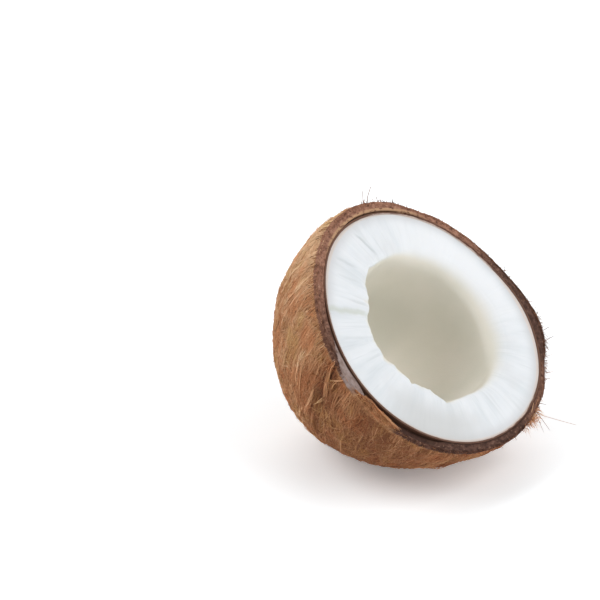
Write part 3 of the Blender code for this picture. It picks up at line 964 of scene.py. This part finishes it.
def makeLocks(paint):
    rng = np.random.default_rng(locks["seed"])
    count, each = locks["count"], locks["strands"]
    angle = rng.uniform(0, 2 * math.pi, count)
    start = onDome(angle, np.clip(rng.uniform(-0.15, 0.97, count), 0, 1))
    unit, stations = walkStrands(rng, locks, start)
    unit = np.repeat(unit, each, axis=0)
    total = count * each
    aside = rng.normal(0, locks["spread"], (total, 1, 3)) / domeRadius
    twist = rng.normal(0, 0.35 * locks["spread"], (total, len(stations), 3)) / domeRadius
    unit = unit + aside * (0.6 + 0.9 * np.abs(stations - 0.5)[:, None] * 2) + twist
    unit[..., 2] = np.minimum(unit[..., 2], 0)
    unit = unitRows(unit)
    height = np.repeat(spread(rng, locks["height"], count), each)[:, None]
    height = height + rng.uniform(-0.2, 0.3, (total, 1))
    lift = np.repeat(rng.uniform(0, 1, count) ** 3 * locks["lift"], each)[:, None]
    raised = height + lift * stations**2
    radius = spread(rng, locks["radius"], total)[:, None] * fibreTaper[len(stations)]
    tones = np.repeat(toneOf(start) + rng.normal(0, 0.10, count), each)
    tones = locks["tone"] + tones + rng.normal(0, 0.06, total)
    strandPiece("fibreLocks", onCoat(unit, raised, radius), radius, tones, paint)


# Loose hairs: at the sawn edge, and single ones that lie on the coat
hairs = {
    "seed": 31,
    "edges": [(-42, 15, 60, (0.5, 1.8), 0.20), (15, 45, 50, (0.6, 2.2), 0.18),
              (45, 84, 290, (0.8, 3.4), 0.20), (84, 158, 160, (0.5, 2.0), 0.24),
              (158, 178, 60, (0.8, 2.8), 0.2), (178, 300, 60, (0.4, 1.3), 0.45),
              (300, 318, 12, (0.5, 2.0), 0.35)],  # from, to, how many, length, tone
    "single": [(66.9, 53.4, 70.8, 60.4, 0.08, 0.18), (61.8, 53.4, 66.8, 61.0, 0.08, 0.18),
               (175.2, 53.5, 167.6, 62.0, 0.2, 0.13), (176.5, 53.5, 173.0, 60.5, 0.25, 0.12),
               (168.5, 53.0, 168.0, 57.0, 0.2, 0.12), (25.2, 53.0, 33.1, 71.0, 0.45, 0.08),
               (25.5, 52.5, 19.3, 58.6, 0.25, 0.11), (26.5, 52.5, 22.5, 60.4, 0.25, 0.11),
               (84.0, 52.8, 82.0, 57.5, 0.3, 0.12), (91.0, 52.0, 89.5, 56.0, 0.3, 0.12),
               (56.0, 53.0, 58.5, 58.0, 0.3, 0.12), (101.0, 51.5, 98.0, 55.2, 0.35, 0.12),
               (48.0, 52.5, 50.5, 57.2, 0.35, 0.12)],  # from, to, tone, radius
    "tuft": {"angle": 22.5, "width": 3.6, "count": 300, "length": (1.5, 6.0), "tone": 0.74},
    "tongue": {"count": 260, "length": (1.0, 3.5), "tone": 0.46, "lineCount": 90, "lineTone": 0.66,
               "line": [(284.0, 51.7), (287.1, 51.5), (292.3, 51.9), (297.1, 52.5), (301.1, 53.1),
                        (304.5, 53.4)]},  # angles and radii of the pale fibres
    "radius": (0.05, 0.11),
    "lowest": 0.2,  # no hair's middle comes nearer to the ground
    "ribbons": [  # width, height, strands, tone, and then angles and shares of the way down the nut
        (0.52, 1.0, 22, 0.63, (266.8, 0.008), (269.0, 0.036), (271.5, 0.066), (274.2, 0.092), (276.8, 0.122)),
        (0.40, 1.0, 18, 0.69, (271.0, 0.134), (273.5, 0.176), (275.5, 0.218), (277.8, 0.278), (279.2, 0.324)),
        (0.12, 1.2, 4, 0.72, (276.8, 0.122), (277.0, 0.148), (277.2, 0.174), (277.2, 0.208)),
        (0.08, 1.2, 4, 0.80, (271.8, 0.060), (272.5, 0.042), (273.8, 0.024), (274.8, 0.010)),
        (0.30, 0.8, 6, 0.66, (262.0, 0.030), (262.8, 0.075), (264.4, 0.120), (266.5, 0.170), (268.5, 0.215)),
        (0.25, 0.8, 5, 0.66, (247.5, 0.020), (249.0, 0.060), (251.0, 0.105), (253.0, 0.150), (255.5, 0.200)),
    ],
}
rimTurn = 53  # millimetres along the rim for one radian


def hairPiece(name, made, paint):  # made: each hair's path, radius and tone
    paths, radii, tones = (np.array(values) for values in zip(*made))
    strandPiece(name, paths, radii[:, None] * fibreTaper[5], tones, paint)


def edgeHairs():
    rng = np.random.default_rng(hairs["seed"])
    stations, lowest = midStations, hairs["lowest"]
    for first, last, count, length, tone in hairs["edges"]:
        for _ in range(count):
            angle = math.radians(rng.uniform(first, last))
            long = rng.uniform(*length) * rng.uniform(0.5, 1.0)
            swing, rise, curl = rng.normal(0, 1.0), rng.normal(-0.1, 0.5), rng.normal(0, 0.5)
            out = rimRadius(angle, 0.0) - 0.7 + (long + 0.7) * math.cos(swing) * stations
            turn = angle + (long * math.sin(swing) * stations + curl * long * stations**2) / rimTurn
            path = facePoints(turn, out, -0.5 + long * rise * stations, lowest)
            yield path, rng.uniform(*hairs["radius"]), tone + rng.normal(0, 0.1)
    for angleOne, radiusOne, angleTwo, radiusTwo, tone, radius in hairs["single"]:
        bow = np.sin(math.pi * stations) * rng.normal(0, 0.5)
        turn = np.radians(angleOne + (angleTwo - angleOne) * stations**1.2 + bow)
        out = radiusOne - 1.0 + (radiusTwo - radiusOne + 1.0) * stations
        yield facePoints(turn, out, -0.5 + 0.6 * stations, lowest), radius, tone
    tongue = hairs["tongue"]
    for _ in range(tongue["count"]):  # short fibres that lie on the coat's inward-reaching edge
        angle = math.radians(rng.uniform(fibreCoat["tongue"][0] - 4, fibreCoat["tongue"][1] + 4))
        long, way = rng.uniform(*tongue["length"]), rng.normal(0.7, 0.7)
        out = rimRadius(angle, 1.2) - rng.uniform(-1.5, 0.95) * coatTongue(angle)
        out = out + long * math.cos(way) * 0.35 * stations
        turn = angle + long * math.sin(way) * stations / rimTurn
        height = 0.15 + 0.12 * np.maximum(rimRadius(turn, 1.2) - out, 0) + rng.uniform(0, 0.15)
        path = facePoints(turn, out, height, lowest)
        yield path, rng.uniform(0.05, 0.09), tongue["tone"] + rng.normal(0, 0.12)
    lineAngles, lineRadii = np.array(tongue["line"]).T
    for _ in range(tongue["lineCount"]):  # the pale fibres along that edge
        first = rng.uniform(0, 0.75)
        along = lineAngles[0] + (lineAngles[-1] - lineAngles[0]) * (first + rng.uniform(0.1, 0.25) * stations)
        out = np.interp(along, lineAngles, lineRadii) + rng.normal(0.1, 0.22)
        out = out + rng.normal(0, 0.08, len(stations))
        path = facePoints(np.radians(along), out, 0.25 + rng.uniform(-0.2, 0.2), lowest)
        yield path, rng.uniform(0.06, 0.11), tongue["lineTone"] + rng.normal(0, 0.08)


def edgeTuft():
    rng = np.random.default_rng(hairs["seed"] + 1)
    tuft, stations = hairs["tuft"], midStations
    for _ in range(tuft["count"]):
        angle = math.radians(tuft["angle"] + rng.normal(0, tuft["width"]))
        long = rng.uniform(*tuft["length"]) * rng.uniform(0.4, 1.0)
        swing, curl, drop = rng.normal(0.25, 0.7), rng.normal(0, 0.9), rng.uniform(-0.3, 0.45)
        out = rimRadius(angle, 0.0) - 1.2 + (long + 0.8) * math.cos(swing) * stations
        turn = angle + (long * math.sin(swing) * stations + curl * long * stations**2 * 0.5) / rimTurn
        path = facePoints(turn, out, rng.uniform(-2.2, -0.2) + long * drop * stations, hairs["lowest"])
        yield path, rng.uniform(0.04, 0.08), tuft["tone"] + rng.normal(0, 0.12)


def coatRibbons():  # pale strands that lie together along the edge of the thick mat
    rng = np.random.default_rng(hairs["seed"] + 2)
    stations, start = midStations, rimLatitude()
    for width, height, strands, tone, *places in hairs["ribbons"]:
        angles, shares = np.array(places).T
        knots = np.linspace(0, 1, len(places))
        for _ in range(strands):
            first = rng.uniform(-0.1, 0.5)
            along = np.clip(first + stations * rng.uniform(0.4, 0.9), -0.1, 1.1)
            angle = np.radians(np.interp(along, knots, angles)) + rng.normal(0, width) / rimTurn
            angle = angle + rng.normal(0, 0.25, len(stations)) / rimTurn
            low = np.interp(along, knots, shares) * math.pi / 2 + rng.normal(0, width) / 80
            latitude = start + (math.pi / 2 - start) * np.maximum(low, 0.0) / (math.pi / 2)
            arch = height * rng.uniform(0.5, 1.0) * np.maximum(np.sin(math.pi * stations), 0) ** 0.6
            raised = coatHeight(angle, latitude, 0.1) + arch  # both tips lie on the coat
            path = nutPoints(angle, latitude, 0.0, raised, hairs["lowest"])
            yield path, rng.uniform(0.07, 0.12), tone + rng.normal(0, 0.12)


# Stage, light and camera
stage = {"floor": 8.0, "floorColour": (0.94, 0.97, 0.99), "floorGlow": 0.21, "sky": 0.45}
softboxes = [  # name, degrees round from +x, degrees up, metres away, width, watts
    ("rightBox", 20.0, 42.0, 1.4, 1.2, 10.6),
    ("leftBox", 222.7, 42.0, 1.4, 1.1, 9.0),
    ("backBox", 132.7, 42.0, 1.4, 1.1, 4.2),
]
camera = {"lens": 100.0, "turn": 42.733, "rise": 21.856, "away": 0.627, "across": 0.05024, "above": 0.00952}


def makeStage():
    bpy.ops.object.select_all(action="DESELECT")
    bpy.ops.mesh.primitive_plane_add(size=stage["floor"], location=(0, 0, -0.0001))
    floor = bpy.context.object
    floor.name = "floor"
    paint = Paint("floor", {"Base Color": (*stage["floorColour"], 1), "Roughness": 0.6,
                            "Specular IOR Level": 0.2, "Emission Color": (1, 1, 1, 1),
                            "Emission Strength": stage["floorGlow"]})
    floor.data.materials.append(paint.material)
    world = bpy.data.worlds.new("sky")
    world.use_nodes = True
    world.node_tree.nodes["Background"].inputs["Color"].default_value = (1, 1, 1, 1)
    world.node_tree.nodes["Background"].inputs["Strength"].default_value = stage["sky"]
    bpy.context.scene.world = world
    for name, around, above, away, width, watts in softboxes:
        around, above = math.radians(around), math.radians(above)
        light = bpy.data.lights.new(name, "AREA")
        light.shape, light.size, light.energy = "DISK", width, watts
        lamp = bpy.data.objects.new(name, light)
        lamp.location = away * Vector((math.cos(around) * math.cos(above), math.sin(around) * math.cos(above),
                                       math.sin(above)))
        lamp.rotation_euler = (Vector((0, 0, 0.04)) - lamp.location).to_track_quat("-Z", "Y").to_euler()
        bpy.context.collection.objects.link(lamp)
    bpy.context.scene.view_settings.view_transform = "Standard"


def makeCamera():
    turn, rise = math.radians(camera["turn"]), math.radians(camera["rise"])
    back = Vector((math.sin(turn) * math.cos(rise), -math.cos(turn) * math.cos(rise), math.sin(rise)))
    right = Vector((math.cos(turn), math.sin(turn), 0))
    up = back.cross(right)
    place = Vector(faceCentre) - right * camera["across"] + up * camera["above"] + back * camera["away"]
    lens = bpy.data.cameras.new("camera")
    lens.lens, lens.sensor_width = camera["lens"], 36.0
    eye = bpy.data.objects.new("camera", lens)
    axes = Matrix((right, up, back)).transposed().to_4x4()
    eye.matrix_world = Matrix.Translation(place) @ axes
    bpy.context.collection.objects.link(eye)
    bpy.context.scene.camera = eye


makeStage()
makeCamera()
makeFlesh()
makeSkin()
makeShell()
makeCoat()
strandPaint = fibrePaint()
for fibreName, fibreStyle in fibres.items():
    makeFibres(fibreName, fibreStyle, strandPaint)
makeLocks(strandPaint)
hairPiece("edgeHairs", edgeHairs(), strandPaint)
hairPiece("edgeTuft", edgeTuft(), strandPaint)
hairPiece("coatRibbons", coatRibbons(), strandPaint)
